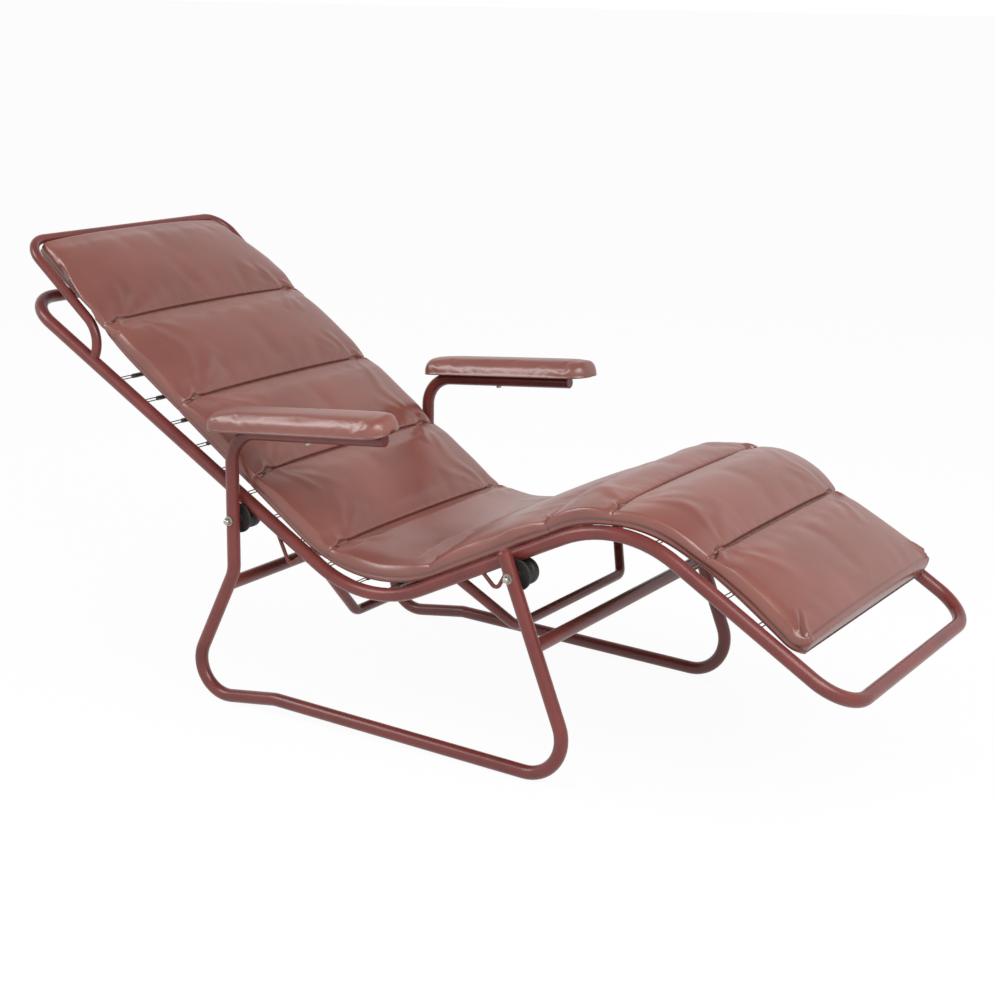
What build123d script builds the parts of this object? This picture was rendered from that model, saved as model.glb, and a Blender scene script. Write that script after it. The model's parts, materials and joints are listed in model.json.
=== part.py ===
"""Reclining lounge chair: a sprung tube cradle that rolls on four rollers in a tube base.

Side views are drawn from the centreline of the rear upright, X towards the foot and Z up from the floor.
Everything is then set so that the origin lies on the floor, midway between the head and foot bows.
"""
import math
import os

from build123d import *

os.makedirs("parts", exist_ok=True)

# Tube and wire stock
tube_d = 24.0
tube_wall = 1.5
slim_tube_d = 18.0
slim_tube_wall = 1.5
stop_wire_d = 7.0
weld_gap = 0.05

# Base: two bent side frames and two crossbars
base_half_width = 309.0
arm_height = 507.0
arm_rise_angle = 5.2
arm_reach = 328.0
arm_bend_r = 59.0
lower_bend_height = 252.0
lower_bend_r = 62.0
rear_foot_back = 124.0
rear_foot_r = 60.0
rail_kink_x = 90.0
rail_kink_height = 27.0
rail_kink_r = 62.0
front_foot_x = 715.5
front_foot_r = 68.0
leg_top_x = 565.6
leg_top_height = 382.0
rear_crossbar_height = 226.0
front_crossbar_height = 231.5

# Cradle: one S-shaped loop of tube
cradle_inset = 30.0
valley_x = 272.4
valley_height = 224.2
back_length = 917.0
back_angle = 30.3
thigh_length = 545.6
thigh_angle = 26.4
calf_length = 463.2
calf_angle = 31.0
valley_r = 222.5
knee_r = 214.5
loop_corner_r = 70.6
bow_leg = 20.0

# Headrest hoop, measured along the back from the head bow
hoop_weld_at = 192.0
hoop_bend_rise = 55.0
hoop_bend_r = 58.0
hoop_bow_beyond = 54.0
hoop_bow_rise = 97.0
hoop_corner_r = 50.0

# Dropped stretchers under the seat
front_stretcher_at = 203.0
front_stretcher_forward = 64.0
rear_stretcher_at = 810.0
rear_stretcher_forward = 0.0
stretcher_inset = 92.0
stretcher_drop = 100.0
stretcher_bend_r = 28.0

# Rollers, their bolts and the stops that they meet
roller_groove_r = 18.5
roller_outer_flange_r = 27.0
roller_inner_flange_r = 23.0
roller_width = 37.0
roller_edge_r = 2.0
roller_clearance = 0.3
bolt_d = 8.0
bolt_running_clearance = 0.05
bolt_hole_clearance = 0.15
bolt_head_d = 15.0
bolt_head_height = 5.0
nut_d = 14.0
nut_height = 5.0
nut_dome_r = 5.6
washer_d = 17.0
washer_t = 1.5
stop_length = 80.0
stop_apex_at = 64.0
stop_apex_drop = 44.0
stop_bend_r = 9.0
stop_clearance = 0.5
stop_travel = 67.5
tilt_range = 6.0

# Spring platform
sling_inset = 97.0
sling_t = 1.6
sling_lift = 8.0
sling_start_at = 238.0
sling_end_at = 322.0
edge_rod_d = 5.0
seat_clearance = 0.3
spring_first_at = 22.0
spring_pitch = 68.6
spring_coil_d = 9.0
spring_coil_length = 44.0
spring_wire_d = 2.2
spring_hook_length = 27.0
hook_hole_d = 3.2

# Mattress of nine sewn channels, from the head end to the foot end
channel_lengths = [231.0, 219.0, 199.0, 203.0, 234.0, 248.0, 117.0, 160.0, 207.0]
mattress_head_beyond = 45.0
mattress_head_rise = 80.0
mattress_rail_gap = 0.6
mattress_seat_r = 280.0
head_end_inset = 43.0
head_inset = 13.0
mattress_overhang = 9.0
seam_tuck = 9.0
seam_side_t = 20.0
seam_mid_t = 27.0
channel_side_t = 34.0
channel_mid_t = 50.0
foot_side_t = 36.0
foot_mid_t = 46.0
shoulder_reach = 0.32
shoulder_share = 0.9
side_round_share = 0.3
cover_t = 2.0
filling_clearance = 0.3

# Armrest boards and pads
arm_pad_length = 372.0
arm_pad_width = 83.0
left_pad_ahead = 9.5
right_pad_ahead = -33.0
left_pad_roll = 1.0
right_pad_roll = 8.0
arm_pad_corner_r = 30.0
arm_board_t = 9.0
arm_board_inset = 4.0
arm_pad_t = 23.0
arm_pad_crown_inset = 13.0
arm_pad_shoulder_inset = 3.0
arm_pad_bulge = 1.5
arm_pad_bulge_at = 0.5
arm_pad_shoulder_at = 0.85
arm_screw_d = 5.0
arm_screw_head_d = 10.0
arm_screw_head_height = 3.2
arm_screw_bite = 7.0
arm_screw_at = 168.0
screw_clearance = 0.15
plug_flange_t = 3.0
plug_spigot = 14.0
plug_clearance = 0.1
leg_plug_dome = 7.0

# Values that follow from those above
tube_r = tube_d / 2
cradle_half_width = base_half_width - cradle_inset
sling_half_width = cradle_half_width - sling_inset
head_end_half_width = cradle_half_width - head_end_inset
head_half_width = cradle_half_width - head_inset
mattress_half_width = cradle_half_width + mattress_overhang
seat_offset = tube_r + mattress_rail_gap
roller_offset = roller_groove_r + roller_clearance + tube_r
sides = {"left": 1, "right": -1}


def step_along(start, angle, distance):
    """The point that lies a distance from start, at an angle above the X axis."""
    return (
        start[0] + distance * math.cos(math.radians(angle)),
        start[1] + distance * math.sin(math.radians(angle)),
    )


valley = (valley_x, valley_height)
head = step_along(valley, 180 - back_angle, back_length)
knee = step_along(valley, thigh_angle, thigh_length)
foot = step_along(knee, -calf_angle, calf_length)
x_mid = (head[0] + foot[0]) / 2


def on_back(s, rise=0.0):
    """A point s from the head bow along the back rails, raised square to them."""
    return step_along(step_along(head, -back_angle, s), 90 - back_angle, rise)


def on_thigh(s, rise=0.0):
    """A point s from the valley along the thigh rails, raised square to them."""
    return step_along(step_along(valley, thigh_angle, s), 90 + thigh_angle, rise)


def on_calf(s, rise=0.0):
    """A point s from the knee along the calf rails, raised square to them."""
    return step_along(step_along(knee, -calf_angle, s), 90 - calf_angle, rise)


def spot(point, y):
    """A side-view point at y, in the chair's own frame."""
    return Vector(point[0] - x_mid, y, point[1])


def side_plane(y):
    """The side-view drawing plane at y."""
    return Plane(origin=(-x_mid, y, 0), x_dir=(1, 0, 0), z_dir=(0, -1, 0))


def across(point, y, direction):
    """A plane at a side-view point that faces along Y, with its own x axis along X."""
    return Plane(origin=spot(point, y), x_dir=(1, 0, 0), z_dir=(0, direction, 0))


def crossing(first, first_angle, second, second_angle):
    """Where two side-view lines meet."""
    ax, az = math.cos(math.radians(first_angle)), math.sin(math.radians(first_angle))
    bx, bz = math.cos(math.radians(second_angle)), math.sin(math.radians(second_angle))
    dx, dz = second[0] - first[0], second[1] - first[1]
    return step_along(first, first_angle, (dx * bz - dz * bx) / (ax * bz - az * bx))


def foot_corner(before, x, after, bend_r):
    """The corner at x whose rounded bend just rests the tube on the floor."""
    z = 0.0
    for _ in range(20):
        corner = Vector(x, z)
        to_before = (Vector(*before) - corner).normalized()
        to_after = (Vector(*after) - corner).normalized()
        half_angle = math.radians(to_before.get_angle(to_after) / 2)
        centre = corner + (to_before + to_after).normalized() * (bend_r / math.sin(half_angle))
        z += bend_r + tube_r - centre.Y
    return (x, z)


def tube_along(path, diameter, wall):
    """Sweep a round tube along a path, or a solid rod where the wall is zero."""
    with BuildSketch(Plane(origin=path @ 0, z_dir=path % 0)) as ring:
        Circle(diameter / 2)
        if wall:
            Circle(diameter / 2 - wall, mode=Mode.SUBTRACT)
    sweep(sections=ring.sketch, path=path)


def finish(builder, label):
    """Name a finished piece and write it out."""
    builder.part.label = label
    export_step(builder.part, f"parts/{label}.step")


# Side frame line, from the armrest's front end down and round to the top of the front leg
arm_root = (0.0, arm_height)
arm_end = step_along(arm_root, arm_rise_angle, arm_reach)
screw_spot = step_along(arm_root, arm_rise_angle, arm_screw_at)
lower_bend = (0.0, lower_bend_height)
rail_kink = (rail_kink_x, rail_kink_height)
leg_top = (leg_top_x, leg_top_height)
rear_foot = foot_corner(lower_bend, -rear_foot_back, rail_kink, rear_foot_r)
front_foot = foot_corner(rail_kink, front_foot_x, leg_top, front_foot_r)
frame_line = [arm_end, arm_root, lower_bend, rear_foot, rail_kink, front_foot, leg_top]
frame_radii = [arm_bend_r, lower_bend_r, rear_foot_r, rail_kink_r, front_foot_r]
leg_angle = math.degrees(math.atan2(leg_top[1] - front_foot[1], leg_top[0] - front_foot[0]))
front_crossbar_spot = crossing((0.0, front_crossbar_height), 0, leg_top, leg_angle)
lower_leg_angle = math.degrees(math.atan2(lower_bend[1] - rear_foot[1], lower_bend[0] - rear_foot[0]))
lower_leg_x = crossing((0.0, rear_crossbar_height), 0, rear_foot, lower_leg_angle)[0]
rear_crossbar_spot = (min(lower_leg_x, 0.0), rear_crossbar_height)

# Roller axes: on the leg centrelines, one roller offset below the rails that they carry
rear_axis = crossing(on_back(0, -roller_offset), -back_angle, (0.0, 0.0), 90)
front_axis = crossing(on_thigh(0, -roller_offset), thigh_angle, leg_top, leg_angle)
roller_axes = {"rear": rear_axis, "front": front_axis}
washer_outer_face = base_half_width + tube_r + washer_t
roller_outer_face = base_half_width - tube_r - washer_t - roller_clearance
roller_inner_face = roller_outer_face - roller_width
bolt_head_face = roller_inner_face - roller_clearance

# Left and right side frames
for side, sign in sides.items():
    with BuildPart() as side_frame:
        with BuildLine(side_plane(sign * base_half_width)) as frame_path:
            FilletPolyline(*frame_line, radius=frame_radii)
        tube_along(frame_path.line, tube_d, tube_wall)
        for axis_spot in roller_axes.values():
            with Locations(across(axis_spot, sign * base_half_width, sign)):
                Cylinder(bolt_d / 2 + bolt_hole_clearance, 2 * tube_d, mode=Mode.SUBTRACT)
        with Locations(spot(screw_spot, sign * base_half_width)):
            Cylinder(
                arm_screw_d / 2 + screw_clearance,
                2 * tube_d,
                rotation=(0, -arm_rise_angle, 0),
                mode=Mode.SUBTRACT,
            )
    finish(side_frame, f"{side}_side_frame")

# The space that the side frames fill, for coping what is welded to them
with BuildPart() as frame_space:
    for sign in sides.values():
        with BuildLine(side_plane(sign * base_half_width)) as frame_path:
            FilletPolyline(*frame_line, radius=frame_radii)
        tube_along(frame_path.line, tube_d + 2 * weld_gap, 0)

# Crossbars, coped to the side frames
for place, bar_spot in (("rear", rear_crossbar_spot), ("front", front_crossbar_spot)):
    with BuildPart() as crossbar:
        with Locations(across(bar_spot, 0, 1)):
            Cylinder(tube_r, 2 * base_half_width)
            Cylinder(tube_r - tube_wall, 2 * base_half_width, mode=Mode.SUBTRACT)
        add(frame_space.part, mode=Mode.SUBTRACT)
        inner_bar = crossbar.solids().sort_by(SortBy.VOLUME)[-1]
    with BuildPart() as coped_bar:
        add(inner_bar)
    finish(coped_bar, f"{place}_crossbar")

# Plugs in the armrest tubes and domed plugs in the tops of the front legs
with BuildPart() as arm_plugs:
    for sign in sides.values():
        end_plane = Plane(
            origin=spot(arm_end, sign * base_half_width),
            x_dir=(0, 1, 0),
            z_dir=(math.cos(math.radians(arm_rise_angle)), 0, math.sin(math.radians(arm_rise_angle))),
        )
        with Locations(end_plane):
            Cylinder(tube_r, plug_flange_t, align=(Align.CENTER, Align.CENTER, Align.MIN))
            Cylinder(
                tube_r - tube_wall - plug_clearance,
                plug_spigot,
                align=(Align.CENTER, Align.CENTER, Align.MAX),
            )
    chamfer(arm_plugs.edges().group_by(Axis.X)[-1], plug_flange_t / 3)
finish(arm_plugs, "arm_end_plugs")

dome_r = (tube_r**2 + leg_plug_dome**2) / (2 * leg_plug_dome)
dome_angle = math.degrees(math.asin(tube_r / dome_r))
with BuildPart() as leg_plugs:
    for sign in sides.values():
        top_plane = Plane(
            origin=spot(leg_top, sign * base_half_width),
            x_dir=(0, 1, 0),
            z_dir=(math.cos(math.radians(leg_angle)), 0, math.sin(math.radians(leg_angle))),
        )
        with BuildSketch(Plane(origin=top_plane.origin, x_dir=(0, 1, 0), z_dir=-top_plane.y_dir)):
            with BuildLine():
                CenterArc((0, leg_plug_dome - dome_r), dome_r, 90 - dome_angle, dome_angle)
                Line((0, leg_plug_dome), (0, 0))
                Line((0, 0), (tube_r, 0))
            make_face()
        revolve(axis=Axis(top_plane.origin, top_plane.z_dir))
        with Locations(top_plane):
            Cylinder(
                tube_r - tube_wall - plug_clearance,
                plug_spigot,
                align=(Align.CENTER, Align.CENTER, Align.MAX),
            )
finish(leg_plugs, "leg_top_plugs")

# Rails of the cradle loop, each with a row of holes for the spring hooks
rail_line = [on_back(loop_corner_r + bow_leg), valley, knee, on_calf(calf_length - loop_corner_r - bow_leg)]
rail_radii = [valley_r, knee_r]
platform_line = [on_back(sling_start_at), valley, knee, on_calf(sling_end_at)]
with BuildLine() as platform_path:
    FilletPolyline(*platform_line, radius=rail_radii)
platform_wire = platform_path.wires()[0]
platform_length = platform_wire.length
spring_count = int((platform_length - 2 * spring_first_at) / spring_pitch) + 1
spring_spots = []
for number in range(spring_count):
    share = (spring_first_at + number * spring_pitch) / platform_length
    rail_point = platform_wire @ share
    rail_direction = platform_wire % share
    spring_spots.append(
        (
            rail_point.X - sling_lift * rail_direction.Y,
            rail_point.Y + sling_lift * rail_direction.X,
        )
    )
print("springs on each side", spring_count)

for side, sign in sides.items():
    with BuildPart() as rail:
        with BuildLine(side_plane(sign * cradle_half_width)) as rail_path:
            FilletPolyline(*rail_line, radius=rail_radii)
        tube_along(rail_path.line, tube_d, tube_wall)
        with Locations(*[across(point, sign * cradle_half_width, -sign) for point in spring_spots]):
            Cylinder(
                hook_hole_d / 2,
                tube_r,
                align=(Align.CENTER, Align.CENTER, Align.MIN),
                mode=Mode.SUBTRACT,
            )
    finish(rail, f"{side}_rail")

# The space that the rails fill, for coping what is welded to them
with BuildPart() as rail_space:
    for sign in sides.values():
        with BuildLine(side_plane(sign * cradle_half_width)) as rail_path:
            FilletPolyline(*rail_line, radius=rail_radii)
        tube_along(rail_path.line, tube_d + 2 * weld_gap, 0)

# Head bow and foot bow close the loop
bow_reach = loop_corner_r + bow_leg
for name, inner_point, outer_point in (
    ("head_bow", on_back(bow_reach), head),
    ("foot_bow", on_calf(calf_length - bow_reach), foot),
):
    bow_line = [
        spot(inner_point, cradle_half_width),
        spot(outer_point, cradle_half_width),
        spot(outer_point, -cradle_half_width),
        spot(inner_point, -cradle_half_width),
    ]
    with BuildPart() as bow:
        with BuildLine() as bow_path:
            FilletPolyline(*bow_line, radius=loop_corner_r)
        tube_along(bow_path.line, tube_d, tube_wall)
    finish(bow, name)


def bent_across(profile):
    """The points of a line bent alike on both sides: (side-view point, distance from the middle)."""
    return [spot(point, y) for point, y in profile] + [spot(point, -y) for point, y in reversed(profile)]


def welded_rod(points, radii, diameter, wall):
    """A bent tube or rod whose ends are coped to the rails."""
    with BuildPart() as rod:
        with BuildLine() as rod_path:
            FilletPolyline(*points, radius=radii)
        tube_along(rod_path.line, diameter, wall)
        add(rail_space.part, mode=Mode.SUBTRACT)
    return rod.solids().sort_by(SortBy.VOLUME)[-1]


# Headrest hoop, welded to the top of the back rails
hoop_line = bent_across(
    [
        (on_back(hoop_weld_at), cradle_half_width),
        (on_back(hoop_weld_at, hoop_bend_rise), cradle_half_width),
        (on_back(-hoop_bow_beyond, hoop_bow_rise), cradle_half_width),
    ]
)
hoop_radii = [hoop_bend_r, hoop_corner_r, hoop_corner_r, hoop_bend_r]
with BuildPart() as hoop:
    add(welded_rod(hoop_line, hoop_radii, slim_tube_d, slim_tube_wall))
finish(hoop, "headrest_hoop")

# Dropped stretchers: legs run in and down from the rails to a straight crossing
stretcher_half_width = cradle_half_width - stretcher_inset
with BuildLine() as cradle_path:
    FilletPolyline(head, valley, knee, foot, radius=rail_radii)
cradle_wire = cradle_path.wires()[0]
rear_stretcher_root = cradle_wire @ (rear_stretcher_at / cradle_wire.length)
for place, root, forward in (
    ("front", on_thigh(front_stretcher_at), front_stretcher_forward),
    ("rear", (rear_stretcher_root.X, rear_stretcher_root.Y), rear_stretcher_forward),
):
    crossing_spot = (root[0] + forward, root[1] - stretcher_drop)
    stretcher_line = bent_across([(root, cradle_half_width), (crossing_spot, stretcher_half_width)])
    with BuildPart() as stretcher:
        add(welded_rod(stretcher_line, stretcher_bend_r, slim_tube_d, slim_tube_wall))
    finish(stretcher, f"{place}_stretcher")

# Bent wire stops under the rails, on the side of each roller that they come up against
stop_slope = math.atan2(stop_apex_drop, stop_apex_at)
stop_reach = roller_groove_r + stop_wire_d / 2 + stop_clearance
stop_lead = (stop_reach - roller_offset * math.cos(stop_slope)) / math.sin(stop_slope)
rear_roller_at = (rear_axis[0] - head[0]) * math.cos(math.radians(back_angle)) + (
    head[1] - rear_axis[1]
) * math.sin(math.radians(back_angle))
front_roller_at = (front_axis[0] - valley[0]) * math.cos(math.radians(thigh_angle)) + (
    front_axis[1] - valley[1]
) * math.sin(math.radians(thigh_angle))
rear_stop_at = rear_roller_at + stop_travel + stop_lead
front_stop_at = front_roller_at - stop_lead
stop_lines = {
    "rear": [
        on_back(rear_stop_at),
        on_back(rear_stop_at + stop_apex_at, -stop_apex_drop),
        on_back(rear_stop_at + stop_length),
    ],
    "front": [
        on_thigh(front_stop_at),
        on_thigh(front_stop_at - stop_apex_at, -stop_apex_drop),
        on_thigh(front_stop_at - stop_length),
    ],
}
for place, stop_line in stop_lines.items():
    with BuildPart() as stops:
        for sign in sides.values():
            points = [spot(point, sign * cradle_half_width) for point in stop_line]
            add(welded_rod(points, stop_bend_r, stop_wire_d, 0))
    finish(stops, f"{place}_stops")

# Rollers: grooved rubber wheels, the larger flange towards the leg
groove_round = tube_r + roller_clearance
groove_centre_r = roller_groove_r + groove_round


def groove_edge(flange_r):
    """How far the groove's edge lies from its middle, at a flange's radius."""
    return math.sqrt(groove_round**2 - (groove_centre_r - flange_r) ** 2)


for place, axis_spot in roller_axes.items():
    for side, sign in sides.items():
        with BuildPart() as roller:
            roller_axis = Axis(spot(axis_spot, 0), (0, 1, 0))
            with BuildSketch(Plane(origin=spot(axis_spot, 0), x_dir=(0, sign, 0), z_dir=(sign, 0, 0))):
                with BuildLine():
                    bore_r = bolt_d / 2 + bolt_running_clearance
                    outer_edge = cradle_half_width + groove_edge(roller_outer_flange_r)
                    inner_edge = cradle_half_width - groove_edge(roller_inner_flange_r)
                    groove = ThreePointArc(
                        (inner_edge, roller_inner_flange_r),
                        (cradle_half_width, roller_groove_r),
                        (outer_edge, roller_outer_flange_r),
                    )
                    Polyline(
                        groove @ 1,
                        (roller_outer_face, roller_outer_flange_r),
                        (roller_outer_face, bore_r),
                        (roller_inner_face, bore_r),
                        (roller_inner_face, roller_inner_flange_r),
                        groove @ 0,
                    )
                make_face()
            revolve(axis=roller_axis)
            flange_t = min(roller_outer_face - outer_edge, inner_edge - roller_inner_face)
            rims = roller.edges().filter_by(GeomType.CIRCLE)
            rims = rims.filter_by(lambda rim: rim.radius > roller_groove_r)
            fillet(rims, min(roller_edge_r, 0.45 * flange_t))
        finish(roller, f"{place}_{side}_roller")

# Roller bolts with their washers and dome nuts
nut_reach = nut_height + nut_dome_r / 2
with BuildPart() as bolts:
    for axis_spot in roller_axes.values():
        for sign in sides.values():
            with BuildSketch(across(axis_spot, sign * bolt_head_face, -sign)):
                RegularPolygon(bolt_head_d / 2, 6)
            extrude(amount=bolt_head_height)
            with BuildSketch(across(axis_spot, sign * bolt_head_face, sign)):
                Circle(bolt_d / 2)
            extrude(amount=washer_outer_face + nut_reach - bolt_head_face)
finish(bolts, "roller_bolts")

with BuildPart() as nuts:
    for axis_spot in roller_axes.values():
        for sign in sides.values():
            with BuildSketch(across(axis_spot, sign * washer_outer_face, sign)):
                RegularPolygon(nut_d / 2, 6)
            extrude(amount=nut_height)
            with Locations(across(axis_spot, sign * (washer_outer_face + nut_height), sign)):
                Sphere(nut_dome_r)
            with BuildSketch(across(axis_spot, sign * (washer_outer_face - nut_dome_r), sign)):
                Circle(bolt_d / 2 + bolt_hole_clearance)
            extrude(amount=nut_dome_r + nut_reach + bolt_hole_clearance, mode=Mode.SUBTRACT)
finish(nuts, "dome_nuts")

with BuildPart() as washers:
    for axis_spot in roller_axes.values():
        for sign in sides.values():
            for face in (base_half_width + tube_r, base_half_width - tube_r - washer_t):
                with BuildSketch(across(axis_spot, sign * face, sign)):
                    Circle(washer_d / 2)
                    Circle(bolt_d / 2 + bolt_hole_clearance, mode=Mode.SUBTRACT)
                extrude(amount=washer_t)
finish(washers, "bolt_washers")

# Canvas sling between the rails, with a rod in each edge
sling_edge_gap = edge_rod_d / 2 + seat_clearance
sling_offset_line = [
    on_back(sling_start_at, sling_lift),
    crossing(on_back(0, sling_lift), -back_angle, on_thigh(0, sling_lift), thigh_angle),
    crossing(on_thigh(0, sling_lift), thigh_angle, on_calf(0, sling_lift), -calf_angle),
    on_calf(sling_end_at, sling_lift),
]
sling_radii = [valley_r - sling_lift, knee_r + sling_lift]
with BuildPart() as sling:
    with BuildLine(side_plane(0)) as sling_path:
        FilletPolyline(*sling_offset_line, radius=sling_radii)
    sling_start = sling_path.line @ 0
    with BuildSketch(Plane(origin=sling_start, x_dir=(0, 1, 0), z_dir=sling_path.line % 0)) as sling_edge:
        Rectangle(2 * (sling_half_width - sling_edge_gap), sling_t)
    sweep(sections=sling_edge.sketch, path=sling_path.line)
finish(sling, "canvas_sling")

for side, sign in sides.items():
    with BuildPart() as edge_rod:
        with BuildLine(side_plane(sign * sling_half_width)) as rod_path:
            FilletPolyline(*sling_offset_line, radius=sling_radii)
        tube_along(rod_path.line, edge_rod_d, 0)
    finish(edge_rod, f"{side}_sling_rod")

# Springs from the rails to the rods: hook, coil and eye in line
hook_tip = cradle_half_width - math.sqrt(tube_r**2 - sling_lift**2) + tube_wall
coil_outer_end = hook_tip - tube_wall - spring_hook_length
coil_inner_end = coil_outer_end - spring_coil_length
eye_tip = sling_half_width + edge_rod_d / 2 + seat_clearance
for side, sign in sides.items():
    with BuildPart() as springs:
        for start, end, diameter in (
            (hook_tip, coil_outer_end, spring_wire_d),
            (coil_outer_end, coil_inner_end, spring_coil_d),
            (coil_inner_end, eye_tip, spring_wire_d),
        ):
            with Locations(*[across(point, sign * start, -sign) for point in spring_spots]):
                Cylinder(diameter / 2, start - end, align=(Align.CENTER, Align.CENTER, Align.MIN))
    finish(springs, f"{side}_springs")

# Mattress line: inside the hoop at the head, then down to the thigh rails and over the knee
mattress_head = on_back(-mattress_head_beyond, mattress_head_rise)
valley_bend_reach = valley_r * math.tan(math.radians(back_angle + thigh_angle) / 2)
seat_entry = on_back(back_length - valley_bend_reach, seat_offset)
mattress_back_angle = math.degrees(
    math.atan2(seat_entry[1] - mattress_head[1], seat_entry[0] - mattress_head[0])
)
mattress_line = [
    mattress_head,
    crossing(mattress_head, mattress_back_angle, on_thigh(0, seat_offset), thigh_angle),
    crossing(on_thigh(0, seat_offset), thigh_angle, on_calf(0, seat_offset), -calf_angle),
    on_calf(calf_length, seat_offset),
]
with BuildLine() as mattress_path:
    FilletPolyline(*mattress_line, radius=[mattress_seat_r, knee_r + seat_offset])
mattress_wire = mattress_path.wires()[0]

# Seams between the channels, and the widths and thicknesses there and in the channels
channel_count = len(channel_lengths)
seam_places = [sum(channel_lengths[:count]) for count in range(channel_count + 1)]
seam_half_widths = [head_end_half_width, head_half_width]
seam_half_widths += [mattress_half_width - seam_tuck] * (channel_count - 2) + [mattress_half_width]
seam_thicknesses = [(seam_side_t, seam_mid_t)] * channel_count + [(foot_side_t, foot_mid_t)]
channel_half_widths = [head_half_width] + [mattress_half_width] * (channel_count - 1)
print("mattress length", seam_places[-1], "of", round(mattress_wire.length, 1))


def mattress_plane(place):
    """The plane square to the mattress line at a distance from its head end."""
    point = mattress_wire @ (place / mattress_wire.length)
    direction = mattress_wire % (place / mattress_wire.length)
    return Plane(
        origin=spot((point.X, point.Y), 0),
        x_dir=(0, 1, 0),
        z_dir=(direction.X, 0, direction.Y),
    )


def shoulder_between(seam, middle):
    """The section on a channel's shoulder, between a seam and the channel's middle."""
    shares = (shoulder_reach, shoulder_share, shoulder_share, shoulder_share)
    return tuple(a + (b - a) * share for a, b, share in zip(seam, middle, shares))


def channel_sections(number):
    """The sections of one channel: (place, half width, side thickness, middle thickness)."""
    start = (seam_places[number], seam_half_widths[number], *seam_thicknesses[number])
    end = (seam_places[number + 1], seam_half_widths[number + 1], *seam_thicknesses[number + 1])
    middle = ((start[0] + end[0]) / 2, channel_half_widths[number], channel_side_t, channel_mid_t)
    return [start, shoulder_between(start, middle), middle, shoulder_between(end, middle), end]


def section_line(half_width, low, side_top, middle_top):
    """Draw a mattress section: flat below, round at the sides and crowned above."""
    round_in = side_round_share * (side_top - low)
    corner = half_width - round_in
    side_middle = (low + side_top) / 2
    Line((-corner, low), (corner, low))
    ThreePointArc((corner, low), (half_width, side_middle), (corner, side_top))
    ThreePointArc((corner, side_top), (0, middle_top), (-corner, side_top))
    ThreePointArc((-corner, side_top), (-half_width, side_middle), (-corner, low))


def channel_solid(number, inset):
    """One sewn channel of the mattress, drawn in all round by an inset."""
    sections = channel_sections(number)
    faces = []
    for index, (place, half_width, side_t, middle_t) in enumerate(sections):
        shift = inset if index == 0 else -inset if index == len(sections) - 1 else 0
        with BuildSketch(mattress_plane(place + shift)) as section:
            with BuildLine():
                section_line(half_width - inset, inset, side_t - inset, middle_t - inset)
            make_face()
        faces.append(section.sketch.face())
    return Solid.make_loft([face.outer_wire() for face in faces])


with BuildPart() as cover:
    for number in range(len(channel_lengths)):
        add(channel_solid(number, 0))
    for number in range(len(channel_lengths)):
        add(channel_solid(number, cover_t), mode=Mode.SUBTRACT)
finish(cover, "mattress_cover")

with BuildPart() as filling:
    for number in range(len(channel_lengths)):
        add(channel_solid(number, cover_t + filling_clearance))
finish(filling, "mattress_filling")

# Armrests: a board on the tube, a stuffed pad on the board, a screw from below
pad_ahead = {"left": left_pad_ahead, "right": right_pad_ahead}
pad_roll = {"left": left_pad_roll, "right": right_pad_roll}
rise = math.radians(arm_rise_angle)


def arm_plane(side, height):
    """A plane across an armrest at a height above the tube, rolled a little outwards."""
    sign = sides[side]
    roll = math.radians(pad_roll[side])
    lift = (tube_r + height) / math.cos(roll)
    pad_middle = step_along(arm_root, arm_rise_angle, pad_ahead[side] + arm_pad_length / 2)
    middle = step_along(pad_middle, 90 + arm_rise_angle, lift)
    along = Vector(math.cos(rise), 0, math.sin(rise))
    up = Vector(-math.sin(rise) * math.cos(roll), sign * math.sin(roll), math.cos(rise) * math.cos(roll))
    return Plane(origin=spot(middle, sign * base_half_width), x_dir=along, z_dir=up)


def arm_outline(spread):
    """Draw an armrest's outline, spread outwards or drawn in."""
    RectangleRounded(arm_pad_length + 2 * spread, arm_pad_width + 2 * spread, arm_pad_corner_r + spread)


for side, sign in sides.items():
    with BuildPart() as board:
        with BuildSketch(arm_plane(side, seat_clearance)):
            arm_outline(-arm_board_inset)
        extrude(amount=arm_board_t)
        with Locations(spot(screw_spot, sign * base_half_width)):
            Cylinder(
                arm_screw_d / 2 + screw_clearance,
                2 * (tube_r + arm_screw_bite + screw_clearance),
                rotation=(0, -arm_rise_angle, 0),
                mode=Mode.SUBTRACT,
            )
    finish(board, f"{side}_arm_board")

    with BuildPart() as pad:
        full_height = arm_board_t + arm_pad_t
        for share, spread in (
            (0, 0),
            (arm_pad_bulge_at, arm_pad_bulge),
            (arm_pad_shoulder_at, -arm_pad_shoulder_inset),
            (1, -arm_pad_crown_inset),
        ):
            with BuildSketch(arm_plane(side, seat_clearance + share * full_height)):
                arm_outline(spread)
        loft()
        with BuildSketch(arm_plane(side, seat_clearance)):
            arm_outline(seat_clearance - arm_board_inset)
        extrude(amount=arm_board_t + seat_clearance, mode=Mode.SUBTRACT)
    finish(pad, f"{side}_arm_pad")

with BuildPart() as arm_screws:
    for sign in sides.values():
        screw_plane = Plane(
            origin=spot(screw_spot, sign * base_half_width),
            x_dir=(0, 1, 0),
            z_dir=(-math.sin(rise), 0, math.cos(rise)),
        )
        with BuildSketch(screw_plane.offset(-tube_r)):
            Circle(arm_screw_d / 2)
        extrude(amount=2 * tube_r + arm_screw_bite)
        with BuildSketch(screw_plane.offset(-tube_r - arm_screw_head_height)):
            Circle(arm_screw_head_d / 2)
        extrude(amount=arm_screw_head_height)
finish(arm_screws, "arm_screws")

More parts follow.
